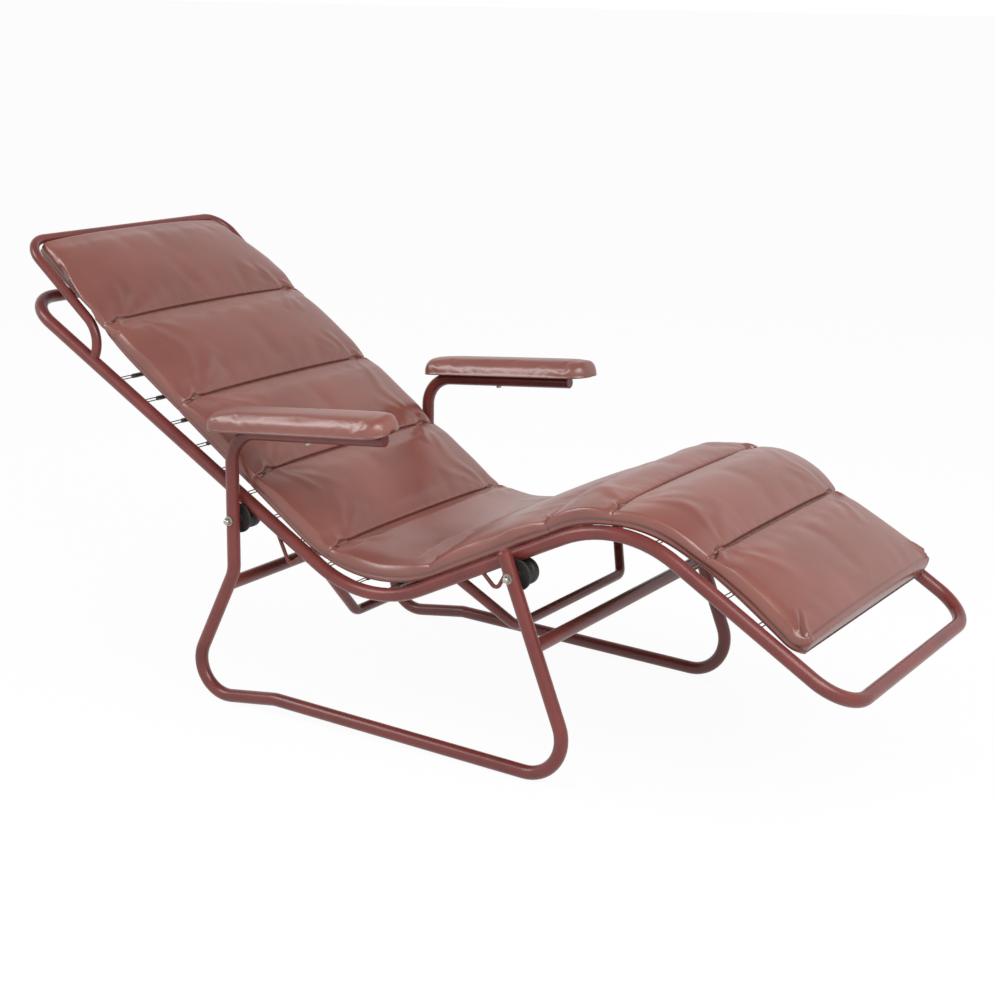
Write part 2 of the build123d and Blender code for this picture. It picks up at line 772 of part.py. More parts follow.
# Hinge of the cradle: the centre that it rolls about moves round a circle, and the hinge is at mid travel
rolling_centre = crossing(rear_axis, 90 - back_angle, front_axis, 90 + thigh_angle)
line_meeting = crossing(on_back(0, -roller_offset), -back_angle, on_thigh(0, -roller_offset), thigh_angle)
circle_centre = (Vector(*rolling_centre) + Vector(*line_meeting)) / 2
hinge = circle_centre + (Vector(*rolling_centre) - circle_centre).rotate(Axis.Z, -tilt_range)
print("cradle hinge", spot((hinge.X, hinge.Y), 0))
for place, axis_spot in roller_axes.items():
    rail_reach = math.dist((hinge.X, hinge.Y), axis_spot) - roller_groove_r - roller_clearance
    print(place, "roller axis", spot(axis_spot, 0), "turns per cradle turn", -rail_reach / roller_groove_r)
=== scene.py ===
# %% [markdown]
# # A reclining lounge chair
# The chair is a bent steel tube base with padded armrests, and a sprung tube cradle that rolls in it on
# four grooved rollers. A stuffed leather mattress lies on the cradle. The tubes, rollers and fasteners come
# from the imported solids, which are never moved. This lesson gives them their finishes, and makes the soft
# and wound pieces: the mattress, the armrest pads, the canvas and the springs.

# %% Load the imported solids
import json
import math

import bmesh
import bpy
import numpy as np
from mathutils import Matrix, Vector


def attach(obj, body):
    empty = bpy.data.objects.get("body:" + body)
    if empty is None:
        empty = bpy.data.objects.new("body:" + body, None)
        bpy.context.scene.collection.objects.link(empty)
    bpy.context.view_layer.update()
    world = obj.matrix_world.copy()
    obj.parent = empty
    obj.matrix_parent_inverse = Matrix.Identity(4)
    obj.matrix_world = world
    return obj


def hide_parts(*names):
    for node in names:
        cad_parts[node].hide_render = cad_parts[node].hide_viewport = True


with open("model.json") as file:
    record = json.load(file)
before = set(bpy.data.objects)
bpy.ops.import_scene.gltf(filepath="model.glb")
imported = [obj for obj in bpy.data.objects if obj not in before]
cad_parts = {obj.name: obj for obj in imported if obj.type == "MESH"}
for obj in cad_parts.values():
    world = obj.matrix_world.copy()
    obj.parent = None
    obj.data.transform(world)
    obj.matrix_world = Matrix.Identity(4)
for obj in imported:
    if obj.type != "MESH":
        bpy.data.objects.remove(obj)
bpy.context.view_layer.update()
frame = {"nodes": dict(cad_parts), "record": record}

nodes = frame["nodes"]

# %% [markdown]
# ## Camera
# The photograph was taken from the chair's front right. A long lens keeps the two side frames almost
# parallel. The camera's place and its slight roll were worked out from the straight tubes. A Track To
# constraint would aim it too, but with no roll, so its axes are set as a matrix.

# %% Camera
MM = 0.001
azimuth, elevation, roll = (math.radians(angle) for angle in (31.75, 14.66, 0.99))
forward = Vector(
    (
        -math.sin(azimuth) * math.cos(elevation),
        math.cos(azimuth) * math.cos(elevation),
        -math.sin(elevation),
    )
)
level_right = Vector((math.cos(azimuth), math.sin(azimuth), 0))
level_up = level_right.cross(forward)
camera_right = level_right * math.cos(roll) + level_up * math.sin(roll)
camera_up = level_up * math.cos(roll) - level_right * math.sin(roll)

camera_data = bpy.data.cameras.new("camera")
camera_data.sensor_fit = "HORIZONTAL"
camera_data.sensor_width = 36.0
camera_data.lens = 68.62
camera = bpy.data.objects.new("camera", camera_data)
bpy.context.scene.collection.objects.link(camera)
turn = Matrix((camera_right, camera_up, -forward)).transposed().to_4x4()
camera.matrix_world = Matrix.Translation((1.7877, -2.8242, 1.2461)) @ turn
bpy.context.scene.camera = camera
print("camera at", [round(v, 3) for v in camera.location])

# %% [markdown]
# ## Helpers for materials
# Colours are written as sRGB hex values, as a paint chart gives them, and turned to linear light here. One
# small function adds a node, sets it and links it, so that a material reads as a list of what it is
# made of.


# %% Colour and node helpers
def srgb(code):
    """Linear colour of an sRGB hex value."""
    parts = [int(code[start : start + 2], 16) / 255 for start in (1, 3, 5)]
    linear = [part / 12.92 if part <= 0.04045 else ((part + 0.055) / 1.055) ** 2.4 for part in parts]
    return (*linear, 1.0)


def add_node(tree, kind, inputs=None, **settings):
    """Add a node, set its properties, and fill or link its inputs."""
    made = tree.nodes.new(kind)
    for name, value in settings.items():
        setattr(made, name, value)
    for name, value in (inputs or {}).items():
        socket = made.inputs[name]
        if isinstance(value, bpy.types.NodeSocket):
            tree.links.new(value, socket)
        else:
            socket.default_value = value
    return made


def new_material(name):
    """An empty material with its surface shader: (material, tree, shader)."""
    material = bpy.data.materials.new(name)
    material.use_nodes = True
    tree = material.node_tree
    return material, tree, tree.nodes["Principled BSDF"]


def per_mm(size):
    """Texture scale at which one cell is about this many millimetres across."""
    return 1 / (size * MM)


# %% [markdown]
# ## Enamel on steel tube
# The tubes were dipped or sprayed with a red-brown stoving enamel. It has a soft gloss, a faint orange peel
# from the spray, and small chips where it has been knocked, down to a dark primer. A painted texture would
# need a UV map on every tube. Noise on Object coordinates needs none, and runs on across the joints.

# %% Red-brown enamel
enamel, tree, shader = new_material("red_brown_enamel")
place = add_node(tree, "ShaderNodeTexCoord").outputs["Object"]
cloud = add_node(tree, "ShaderNodeTexNoise", {"Vector": place, "Scale": per_mm(70), "Detail": 3.0})
tone = add_node(tree, "ShaderNodeValToRGB", {"Fac": cloud.outputs["Fac"]})
tone.color_ramp.elements[0].position, tone.color_ramp.elements[1].position = 0.3, 0.75
tone.color_ramp.elements[0].color = srgb("#632a27")
tone.color_ramp.elements[1].color = srgb("#783530")
chip_noise = add_node(tree, "ShaderNodeTexNoise", {"Vector": place, "Scale": per_mm(9), "Detail": 4.0})
chip = add_node(tree, "ShaderNodeValToRGB", {"Fac": chip_noise.outputs["Fac"]})
chip.color_ramp.elements[0].position, chip.color_ramp.elements[1].position = 0.765, 0.78
chipped = add_node(
    tree,
    "ShaderNodeMix",
    {"Factor": chip.outputs["Color"], "A": tone.outputs["Color"], "B": srgb("#3b2a27")},
    data_type="RGBA",
)
peel = add_node(tree, "ShaderNodeTexNoise", {"Vector": place, "Scale": per_mm(2.5), "Detail": 2.0})
bump = add_node(
    tree,
    "ShaderNodeBump",
    {"Height": peel.outputs["Fac"], "Strength": 0.02, "Distance": 0.1 * MM},
)
rough = add_node(
    tree,
    "ShaderNodeMapRange",
    {"Value": cloud.outputs["Fac"], "To Min": 0.26, "To Max": 0.34},
)
tree.links.new(chipped.outputs["Result"], shader.inputs["Base Color"])
tree.links.new(rough.outputs["Result"], shader.inputs["Roughness"])
tree.links.new(bump.outputs["Normal"], shader.inputs["Normal"])
print("enamel of", len(tree.nodes), "nodes")

# %% [markdown]
# ## Leather
# The mattress and the armrests are covered in a smooth finished hide: a pebbled grain of about a
# millimetre and a half, a waxy sheen, and slow changes of tone where it has faded. The shade in the seams,
# slits, pleats and creases is painted: a dark brown mixed in by an attribute on the mesh, so that it
# follows the sewing. The grain is too fine to model, so it is bump, while the folds are real shape.

# %% Red-brown leather
leather, tree, shader = new_material("red_brown_leather")
place = add_node(tree, "ShaderNodeTexCoord").outputs["Object"]
fade = add_node(tree, "ShaderNodeTexNoise", {"Vector": place, "Scale": per_mm(130), "Detail": 3.0})
tone = add_node(tree, "ShaderNodeValToRGB", {"Fac": fade.outputs["Fac"]})
tone.color_ramp.elements[0].position, tone.color_ramp.elements[1].position = 0.3, 0.72
tone.color_ramp.elements[0].color = srgb("#733d33")
tone.color_ramp.elements[1].color = srgb("#81483c")
# Painted shade: a dark brown mixed in where the mesh attribute marks seams, slits, pleats and creases
painted_shade = add_node(tree, "ShaderNodeAttribute", attribute_name="painted_shade")
tone_and_shade = add_node(
    tree,
    "ShaderNodeMix",
    {"Factor": painted_shade.outputs["Fac"], "A": tone.outputs["Color"], "B": srgb("#3a1e1b")},
    data_type="RGBA",
)
grain = add_node(
    tree,
    "ShaderNodeTexVoronoi",
    {"Vector": place, "Scale": per_mm(1.6), "Randomness": 0.9},
    feature="SMOOTH_F1",
)
crease = add_node(tree, "ShaderNodeTexNoise", {"Vector": place, "Scale": per_mm(11), "Detail": 5.0})
relief = add_node(
    tree,
    "ShaderNodeMath",
    {0: crease.outputs["Fac"], 1: 0.7, 2: grain.outputs["Distance"]},
    operation="MULTIPLY_ADD",
)
bump = add_node(
    tree,
    "ShaderNodeBump",
    {"Height": relief.outputs["Value"], "Strength": 0.16, "Distance": 0.3 * MM},
)
rough = add_node(
    tree,
    "ShaderNodeMapRange",
    {"Value": crease.outputs["Fac"], "To Min": 0.29, "To Max": 0.38},
)
shader.inputs["IOR"].default_value = 1.72
tree.links.new(tone_and_shade.outputs["Result"], shader.inputs["Base Color"])
tree.links.new(rough.outputs["Result"], shader.inputs["Roughness"])
tree.links.new(bump.outputs["Normal"], shader.inputs["Normal"])
print("leather of", len(tree.nodes), "nodes")

# %% [markdown]
# ## Rubber, steel, canvas and wood
# The rollers are moulded black rubber, a little dusty. Nuts, bolts and washers are bright zinc plate, and
# the springs are plain drawn wire that has dulled. The canvas is a plain weave, and the armrest boards are
# raw beech. Each has a simple pattern on a plain shader, since these pieces are small in the picture.

# %% Rubber, zinc plate and spring wire
rubber, tree, shader = new_material("black_rubber")
place = add_node(tree, "ShaderNodeTexCoord").outputs["Object"]
dust = add_node(tree, "ShaderNodeTexNoise", {"Vector": place, "Scale": per_mm(6), "Detail": 4.0})
tone = add_node(tree, "ShaderNodeValToRGB", {"Fac": dust.outputs["Fac"]})
tone.color_ramp.elements[0].color = srgb("#121212")
tone.color_ramp.elements[1].color = srgb("#2c2a28")
tree.links.new(tone.outputs["Color"], shader.inputs["Base Color"])
shader.inputs["Roughness"].default_value = 0.55

zinc, tree, shader = new_material("bright_zinc_plate")
place = add_node(tree, "ShaderNodeTexCoord").outputs["Object"]
mottle = add_node(tree, "ShaderNodeTexNoise", {"Vector": place, "Scale": per_mm(3), "Detail": 3.0})
rough = add_node(
    tree,
    "ShaderNodeMapRange",
    {"Value": mottle.outputs["Fac"], "To Min": 0.2, "To Max": 0.4},
)
tree.links.new(rough.outputs["Result"], shader.inputs["Roughness"])
shader.inputs["Base Color"].default_value = srgb("#b3afa7")
shader.inputs["Metallic"].default_value = 1.0

wire, tree, shader = new_material("dull_spring_wire")
place = add_node(tree, "ShaderNodeTexCoord").outputs["Object"]
stain = add_node(tree, "ShaderNodeTexNoise", {"Vector": place, "Scale": per_mm(14), "Detail": 4.0})
tone = add_node(tree, "ShaderNodeValToRGB", {"Fac": stain.outputs["Fac"]})
tone.color_ramp.elements[0].position, tone.color_ramp.elements[1].position = 0.35, 0.7
tone.color_ramp.elements[0].color = srgb("#4c4744")
tone.color_ramp.elements[1].color = srgb("#857f79")
tree.links.new(tone.outputs["Color"], shader.inputs["Base Color"])
shader.inputs["Metallic"].default_value = 1.0
shader.inputs["Roughness"].default_value = 0.42
print("made", rubber.name, zinc.name, wire.name)

# %% Canvas and beech
# Threads are 1.2 mm apart, coarser than the real cloth, so that the weave shows
canvas, tree, shader = new_material("plain_weave_canvas")
cloth_uv = add_node(tree, "ShaderNodeUVMap", uv_map="cloth").outputs["UV"]
threads = []
for direction in ("X", "Y"):
    threads.append(
        add_node(
            tree,
            "ShaderNodeTexWave",
            {"Vector": cloth_uv, "Scale": per_mm(1.2) / 20, "Distortion": 0.6},
            bands_direction=direction,
        )
    )
weave = add_node(
    tree,
    "ShaderNodeMath",
    {0: threads[0].outputs["Fac"], 1: threads[1].outputs["Fac"]},
    operation="MULTIPLY",
)
tone = add_node(tree, "ShaderNodeValToRGB", {"Fac": weave.outputs["Value"]})
tone.color_ramp.elements[0].color = srgb("#6d6048")
tone.color_ramp.elements[1].color = srgb("#a89a7d")
bump = add_node(
    tree,
    "ShaderNodeBump",
    {"Height": weave.outputs["Value"], "Strength": 0.4, "Distance": 0.4 * MM},
)
tree.links.new(tone.outputs["Color"], shader.inputs["Base Color"])
tree.links.new(bump.outputs["Normal"], shader.inputs["Normal"])
shader.inputs["Roughness"].default_value = 0.9

beech, tree, shader = new_material("raw_beech")
place = add_node(tree, "ShaderNodeTexCoord").outputs["Object"]
stretched = add_node(tree, "ShaderNodeMapping", {"Vector": place, "Scale": (0.06, 1.0, 1.0)})
fibre = add_node(
    tree,
    "ShaderNodeTexNoise",
    {"Vector": stretched.outputs["Vector"], "Scale": per_mm(2.5), "Detail": 5.0},
)
tone = add_node(tree, "ShaderNodeValToRGB", {"Fac": fibre.outputs["Fac"]})
tone.color_ramp.elements[0].color = srgb("#8a6540")
tone.color_ramp.elements[1].color = srgb("#c09a6b")
tree.links.new(tone.outputs["Color"], shader.inputs["Base Color"])
shader.inputs["Roughness"].default_value = 0.65
print("materials", len(bpy.data.materials))

# %% [markdown]
# ## Finishes on the solids
# Each solid names the slot of its material. One table gives every slot its finish, so that a finish can be
# changed in one place.

# %% Finishes on the solids
finish_of_slot = {
    "frame_paint": enamel,
    "mattress_leather": leather,
    "mattress_wadding": canvas,
    "canvas": canvas,
    "roller_rubber": rubber,
    "bright_steel": zinc,
    "spring_steel": wire,
    "board_wood": beech,
}
for subpart in frame["record"]["subparts"]:
    node = nodes[subpart["node"]]
    node.data.materials.clear()
    node.data.materials.append(finish_of_slot[subpart["material_slot"]])

# %% [markdown]
# ## The line of the cradle
# The mattress, the canvas and the springs all follow the cradle's side view: straight runs of back, thigh
# and calf, joined by round bends. The runs are measured from the rear upright, as on the solids, and then
# set in the chair's own frame. A curve object could hold this line, but a plain list of distances and
# points is simpler to measure along.

# %% Side view of the cradle
X_MIDDLE = 319.4 * MM
BACK_ANGLE, THIGH_ANGLE, CALF_ANGLE = 30.3, 26.4, 31.0
BACK_LENGTH, THIGH_LENGTH, CALF_LENGTH = 917 * MM, 545.6 * MM, 463.2 * MM
VALLEY_BEND, KNEE_BEND = 222.5 * MM, 214.5 * MM
TUBE_RADIUS = 12 * MM


def step_along(start, angle, distance):
    """The side-view point at a distance from start, at an angle above the X axis."""
    return start + distance * Vector((math.cos(math.radians(angle)), math.sin(math.radians(angle))))


def meeting(first, first_angle, second, second_angle):
    """Where two side-view lines meet."""
    a = step_along(Vector((0, 0)), first_angle, 1)
    b = step_along(Vector((0, 0)), second_angle, 1)
    gap = second - first
    return first + a * ((gap.x * b.y - gap.y * b.x) / (a.x * b.y - a.y * b.x))


def bent_line(corners, radii):
    """Points every few millimetres along straight runs joined by round bends, with their distances."""
    points = [corners[0]]
    for before, corner, after, radius in zip(corners, corners[1:], corners[2:], radii):
        into, out = (corner - before).normalized(), (after - corner).normalized()
        bend = math.atan2(into.x * out.y - into.y * out.x, into.dot(out))
        start = corner - into * radius * math.tan(abs(bend) / 2)
        side = math.copysign(1, bend)
        centre = start + side * radius * Vector((-into.y, into.x))
        for share in np.linspace(0, 1, 60):
            points.append(centre + Matrix.Rotation(bend * share, 2) @ (start - centre))
    points.append(corners[-1])
    points = np.array([tuple(point) for point in points])
    steps = np.linalg.norm(np.diff(points, axis=0), axis=1)
    return np.concatenate([[0], np.cumsum(steps)]), points


def along_line(line, distance):
    """Side-view points, directions and upward normals at distances along a line."""
    lengths, points = line

    def spot(value):
        return np.stack([np.interp(value, lengths, points[:, axis]) for axis in (0, 1)], axis=-1)

    value = np.clip(distance, MM, lengths[-1] - MM)
    direction = spot(value + MM) - spot(value - MM)
    direction /= np.linalg.norm(direction, axis=-1, keepdims=True)
    overshoot = np.asarray(distance) - np.clip(distance, 0, lengths[-1])
    place = spot(np.clip(distance, 0, lengths[-1])) + direction * overshoot[..., None]
    return place, direction, np.stack([-direction[..., 1], direction[..., 0]], axis=-1)


valley = Vector((272.4 * MM - X_MIDDLE, 224.2 * MM))
head = step_along(valley, 180 - BACK_ANGLE, BACK_LENGTH)
knee = step_along(valley, THIGH_ANGLE, THIGH_LENGTH)
foot = step_along(knee, -CALF_ANGLE, CALF_LENGTH)


def on_back(distance, rise):
    """A point along the back rails from the head bow, raised square to them."""
    return step_along(step_along(head, -BACK_ANGLE, distance), 90 - BACK_ANGLE, rise)


def raised_cradle_line(rise, back_start, calf_end):
    """The cradle's line raised square to its runs: from a place on the back to one on the calf."""
    calf_start = step_along(knee, 90 - CALF_ANGLE, rise)
    thigh_start = step_along(valley, 90 + THIGH_ANGLE, rise)
    corners = [
        on_back(back_start, rise),
        meeting(on_back(0, rise), -BACK_ANGLE, thigh_start, THIGH_ANGLE),
        meeting(thigh_start, THIGH_ANGLE, calf_start, -CALF_ANGLE),
        step_along(calf_start, -CALF_ANGLE, calf_end),
    ]
    return bent_line(corners, [VALLEY_BEND - rise, KNEE_BEND + rise])


# The mattress starts higher, inside the headrest hoop, and comes down to the rails at the seat
seat_rise = TUBE_RADIUS + 0.6 * MM
bend_reach = VALLEY_BEND * math.tan(math.radians(BACK_ANGLE + THIGH_ANGLE) / 2)
HEAD_OVERHANG, HEAD_RISE, SEAT_BEND = 45 * MM, 80 * MM, 280 * MM
mattress_head = on_back(-HEAD_OVERHANG, HEAD_RISE)
back_run = on_back(BACK_LENGTH - bend_reach, seat_rise) - mattress_head
thigh_start = step_along(valley, 90 + THIGH_ANGLE, seat_rise)
calf_start = step_along(knee, 90 - CALF_ANGLE, seat_rise)
back_run_angle = math.degrees(math.atan2(back_run.y, back_run.x))
mattress_corners = [
    mattress_head,
    meeting(mattress_head, back_run_angle, thigh_start, THIGH_ANGLE),
    meeting(thigh_start, THIGH_ANGLE, calf_start, -CALF_ANGLE),
    step_along(calf_start, -CALF_ANGLE, CALF_LENGTH),
]
mattress_line = bent_line(mattress_corners, [SEAT_BEND, KNEE_BEND + seat_rise])
print("mattress line", round(mattress_line[0][-1], 3), "m")

# %% [markdown]
# ## Mattress
# The mattress is a long leather case, sewn across into channels and stuffed. Its panels are broad and
# fairly flat, and sink to a narrow seam between them. It starts as rings around the mattress line, a little
# slack. A cloth simulation with pressure inside then fills the channels between their seams, which are
# held. Both ends are closed by rings that sink to the lower edge. The calf panel draws in at its sides, and
# the head panel spreads over the sides of the headrest hoop. The panels could be sculpted by hand, but
# pressure swells each by the same rule, the way stuffing does.

# %% Mattress before filling
CHANNELS = np.array([231, 219, 199, 203, 234, 248, 117, 160, 207]) * MM
END_ROOM = 7.5 * MM
END_SHARES = np.array([0.94, 0.8, 0.58, 0.32, 0.08])
END_BULGE = np.array([3.0, 6.0, 7.2, 7.0, 5.5]) * MM
END_DRAW = np.array([3.5, 9.0, 12.5, 14.0, 14.5]) * MM
seam_places = np.concatenate([[0], np.cumsum(CHANNELS)])
seam_half_widths = np.array([236, 262, 281, 281, 281, 281, 281, 281, 281, 284]) * MM
channel_half_widths = np.array([261, 285, 285, 285, 285, 285, 285, 285, 285]) * MM
SEAM_SIDE, SEAM_MIDDLE = 21 * MM, 27 * MM
CHANNEL_SIDE, CHANNEL_MIDDLE = 28 * MM, 43 * MM
FOOT_SIDE, FOOT_MIDDLE, FOOT_CORNER = 31 * MM, 39 * MM, 34 * MM
WAIST_PLACES = seam_places[-1] + np.array([-370, -290, -207, -165, -90, -25]) * MM
WAIST_DEPTHS = np.array([0, 8, 22, 27, 18, 0]) * MM
WAIST_SMOOTHING = 8
TOP_POINTS, SIDE_POINTS, BOTTOM_POINTS = 84, 9, 16
ROUNDNESS = 2.4


def channel_rows():
    """Distances of the rings along the mattress, closer together near the seams."""
    rows = []
    for start, length in zip(seam_places, CHANNELS):
        share = np.linspace(0, 1, int(length / (6 * MM)), endpoint=False)
        rows.append(start + length * (share - 0.1 * np.sin(2 * math.pi * share)))
    inner = np.append(np.concatenate(rows), seam_places[-1])
    return np.clip(inner, END_ROOM, seam_places[-1] - END_ROOM)


def between_seams(distance):
    """For each distance: its channel, its share of the bulge, and the nearer seam."""
    channel = np.clip(np.searchsorted(seam_places, distance, side="right") - 1, 0, len(CHANNELS) - 1)
    share = np.clip((distance - seam_places[channel]) / CHANNELS[channel], 0, 1)
    inward = np.clip(1 - np.abs(2 * share - 1), 0, 1)
    bulge = (1 - (1 - inward) ** ROUNDNESS) ** (1 / ROUNDNESS)
    return channel, bulge, channel + (share > 0.5)


inner_rows = np.unique(channel_rows())
channel, bulge, seam = between_seams(inner_rows)
at_foot = seam == len(CHANNELS)
seam_side = np.where(at_foot, FOOT_SIDE, SEAM_SIDE)
seam_middle = np.where(at_foot, FOOT_MIDDLE, SEAM_MIDDLE)
half_width = seam_half_widths[seam] + (channel_half_widths[channel] - seam_half_widths[seam]) * bulge
waist = np.interp(inner_rows, WAIST_PLACES, WAIST_DEPTHS)
window = np.ones(2 * WAIST_SMOOTHING + 1) / (2 * WAIST_SMOOTHING + 1)
half_width -= np.convolve(np.pad(waist, WAIST_SMOOTHING, mode="edge"), window, mode="valid")
into_corner = np.clip(FOOT_CORNER - (seam_places[-1] - inner_rows), 0, FOOT_CORNER)
half_width -= FOOT_CORNER - np.sqrt(FOOT_CORNER**2 - into_corner**2)
side_height = seam_side + (CHANNEL_SIDE - seam_side) * bulge
middle_height = seam_middle + (CHANNEL_MIDDLE - seam_middle) * bulge


def with_ends(values, at_ends):
    """Add the closing rings before and after the values of the inner rings."""
    before, after = at_ends(values[0], -1), at_ends(values[-1], 1)
    return np.concatenate([before[::-1], values, after])


rows = with_ends(inner_rows, lambda value, way: value + way * END_BULGE)
half_width = with_ends(half_width, lambda value, way: value - END_DRAW)
side_height = with_ends(side_height, lambda value, way: value * END_SHARES)
middle_height = with_ends(middle_height, lambda value, way: value * END_SHARES)

even = np.linspace(-1, 1, TOP_POINTS)
across_top = even + 0.12 * np.sin(math.pi * even)
side_turn = np.linspace(math.pi / 2, -math.pi / 2, SIDE_POINTS + 2)[1:-1]
across_bottom = np.linspace(1, -1, BOTTOM_POINTS)


def ring_points(half_width, side_height, middle_height):
    """One ring round the mattress: (across, up) of its top, left side, bottom and right side."""
    round_in = 0.3 * side_height
    corner = half_width - round_in
    top_up = side_height + (middle_height - side_height) * (1 - np.abs(across_top) ** 3)
    side_out = corner + round_in * np.cos(side_turn)
    side_up = side_height / 2 * (1 + np.sin(side_turn))
    across = np.concatenate([corner * across_top, side_out, corner * across_bottom, -side_out[::-1]])
    up = np.concatenate([top_up, side_up, np.zeros(BOTTOM_POINTS), side_up[::-1]])
    return np.stack([across, up], axis=-1)


rings = np.array([ring_points(*sizes) for sizes in zip(half_width, side_height, middle_height)])
places, _, normals = along_line(mattress_line, rows)

# The hoop's side runs pass beside the head panel, whose upper edges spread out over them
HOOP_PLACES = np.array([65, 105, 145, 189, 215, 262]) * MM
HOOP_TOPS = np.array([20, 16, 12.5, 8.5, 0, 0]) * MM
SPREAD_HALF = np.array([263, 276, 285, 287, 286, 283]) * MM
SPREAD_RAMP, SPREAD_REACH = 11 * MM, 70 * MM
spread = np.interp(rows, HOOP_PLACES, SPREAD_HALF, left=0, right=0)
extra = np.clip(spread - half_width, 0, None)[:, None]
hoop_top = np.interp(rows, HOOP_PLACES, HOOP_TOPS)[:, None]
above = np.clip((rings[:, :, 1] - hoop_top) / SPREAD_RAMP, 0, 1)
outer = np.clip(1 - (half_width[:, None] - np.abs(rings[:, :, 0])) / SPREAD_REACH, 0, 1)
rings[:, :, 0] += np.sign(rings[:, :, 0]) * extra * above * outer
half_width += extra[:, 0]


def set_across(rings, places, normals):
    """Set (across, up) rings square to a side-view line."""
    return np.stack(
        [
            places[:, None, 0] + normals[:, None, 0] * rings[:, :, 1],
            rings[:, :, 0],
            places[:, None, 1] + normals[:, None, 1] * rings[:, :, 1],
        ],
        axis=-1,
    )


def closed_rings(name, points):
    """A closed smooth mesh object from rings of points, with a face over each end."""
    row_count, ring_count = points.shape[:2]
    index = np.arange(row_count * ring_count).reshape(row_count, ring_count)
    after = np.roll(index, -1, axis=1)
    faces = np.stack([index[:-1], index[1:], after[1:], after[:-1]], axis=-1).reshape(-1, 4).tolist()
    faces.append(index[0].tolist())
    faces.append(index[-1][::-1].tolist())
    mesh = bpy.data.meshes.new(name)
    mesh.from_pydata(points.reshape(-1, 3).tolist(), [], faces)
    mesh.update()
    shell = bmesh.new()
    shell.from_mesh(mesh)
    bmesh.ops.recalc_face_normals(shell, faces=shell.faces)
    shell.to_mesh(mesh)
    shell.free()
    mesh.shade_smooth()
    made = bpy.data.objects.new(name, mesh)
    bpy.context.scene.collection.objects.link(made)
    return made


case_points = set_across(rings, places, normals)
slack_case = closed_rings("slack_case", case_points)
print("mattress rings", len(rows), "points", len(slack_case.data.vertices))


# %% Fill the mattress
def filled(soft, held, pressure, slack, frames, most):
    """Swell a closed mesh with cloth and inner pressure, its held points fixed; returns the new points."""
    before = np.array([vertex.co for vertex in soft.data.vertices])
    group = soft.vertex_groups.new(name="held")
    group.add(np.flatnonzero(held).tolist(), 1.0, "REPLACE")
    cloth = soft.modifiers.new("filling", "CLOTH")
    cloth.settings.vertex_group_mass = "held"
    cloth.settings.quality = 5
    cloth.settings.mass = 0.3
    cloth.settings.air_damping = 2.0
    cloth.settings.tension_stiffness = 12
    cloth.settings.compression_stiffness = 12
    cloth.settings.shear_stiffness = 4
    cloth.settings.bending_stiffness = 1.2
    cloth.settings.shrink_min = -slack
    cloth.settings.use_pressure = True
    cloth.settings.uniform_pressure_force = pressure
    cloth.settings.effector_weights.gravity = 0
    cloth.collision_settings.use_collision = False
    cloth.point_cache.frame_end = frames
    for frame_number in range(1, frames + 1):
        bpy.context.scene.frame_set(frame_number)
    swollen = soft.evaluated_get(bpy.context.evaluated_depsgraph_get())
    after = np.array([vertex.co for vertex in swollen.data.vertices])
    soft.modifiers.remove(cloth)
    bpy.context.scene.frame_set(1)
    move = after - before
    size = np.linalg.norm(move, axis=1, keepdims=True)
    return before + move * np.tanh(size / most) * most / np.maximum(size, 1e-9)


held = np.zeros(rings.shape[:2], bool)
held[:, TOP_POINTS + SIDE_POINTS - 2 : TOP_POINTS + SIDE_POINTS + BOTTOM_POINTS + 2] = True
held[[int(np.argmin(np.abs(rows - seam_place))) for seam_place in seam_places[1:-1]]] = True
held[: len(END_SHARES) + 1] = True
held[-len(END_SHARES) - 1 :] = True
filled_case = filled(slack_case, held.reshape(-1), pressure=3.5, slack=0.018, frames=24, most=9 * MM)
swell = filled_case.reshape(case_points.shape) - case_points
for smoothing in range(4):
    swell = (np.roll(swell, 1, axis=1) + 2 * swell + np.roll(swell, -1, axis=1)) / 4
    swell[1:-1] = (swell[:-2] + 2 * swell[1:-1] + swell[2:]) / 4
SEAM_FADE = 40 * MM
from_seam = np.abs(rows[:, None] - seam_places).min(axis=1)
swell *= np.clip(from_seam / SEAM_FADE, 0, 1)[:, None, None]
filled_points = case_points + swell
bpy.data.objects.remove(slack_case)
print("swell up to", round(float(np.linalg.norm(swell, axis=-1).max()) / MM, 1), "mm")


# %% [markdown]
# ## Sewing and folds
# The filled case is refined to half its spacing. Then come the details that the sewing makes: a narrow
# groove at each seam that breaks into a crooked slit beside the edge, a small ear of leather there, folds
# that fan out from the seam's ends, gathers along it, a pleat at each corner of the foot end, and a hem
# along the sides. They are sharper than the simulated mesh can fold, so each is drawn as a bump or a groove
# along the surface normals. The shade inside the slits, the pleats, the groove at the foot edge and the
# hem's groove is painted on as dark marks.


# %% Refine the mattress
def halved(values):
    """Add a smooth point between each two along the first axis."""
    padded = np.concatenate([values[:1], values, values[-1:]])
    between = (9 * (padded[1:-2] + padded[2:-1]) - padded[:-3] - padded[3:]) / 16
    result = np.empty((2 * len(values) - 1, *values.shape[1:]))
    result[0::2] = values
    result[1::2] = between
    return result


def halved_round(values):
    """The same along the second axis, which closes on itself."""
    turned = np.moveaxis(values, 1, 0)
    wrapped = np.concatenate([turned[-2:], turned, turned[:3]])
    return np.moveaxis(halved(wrapped)[4:-5], 0, 1)


fine_points = halved_round(halved(filled_points))
fine_rows = halved(rows)
fine_half = halved(half_width)
fine_across = halved_round(halved(rings[:, :, :1]))[:, :, 0]
mattress = closed_rings("leather_mattress", fine_points)
TOP_FINE = 2 * TOP_POINTS - 1
SIDE_FINE = 2 * SIDE_POINTS + 1
BOTTOM_FINE = 2 * BOTTOM_POINTS - 1
on_top = np.zeros(fine_points.shape[:2], bool)
on_top[:, :TOP_FINE] = True
print("fine rings", fine_points.shape[:2], "ring parts", TOP_FINE, SIDE_FINE, BOTTOM_FINE)

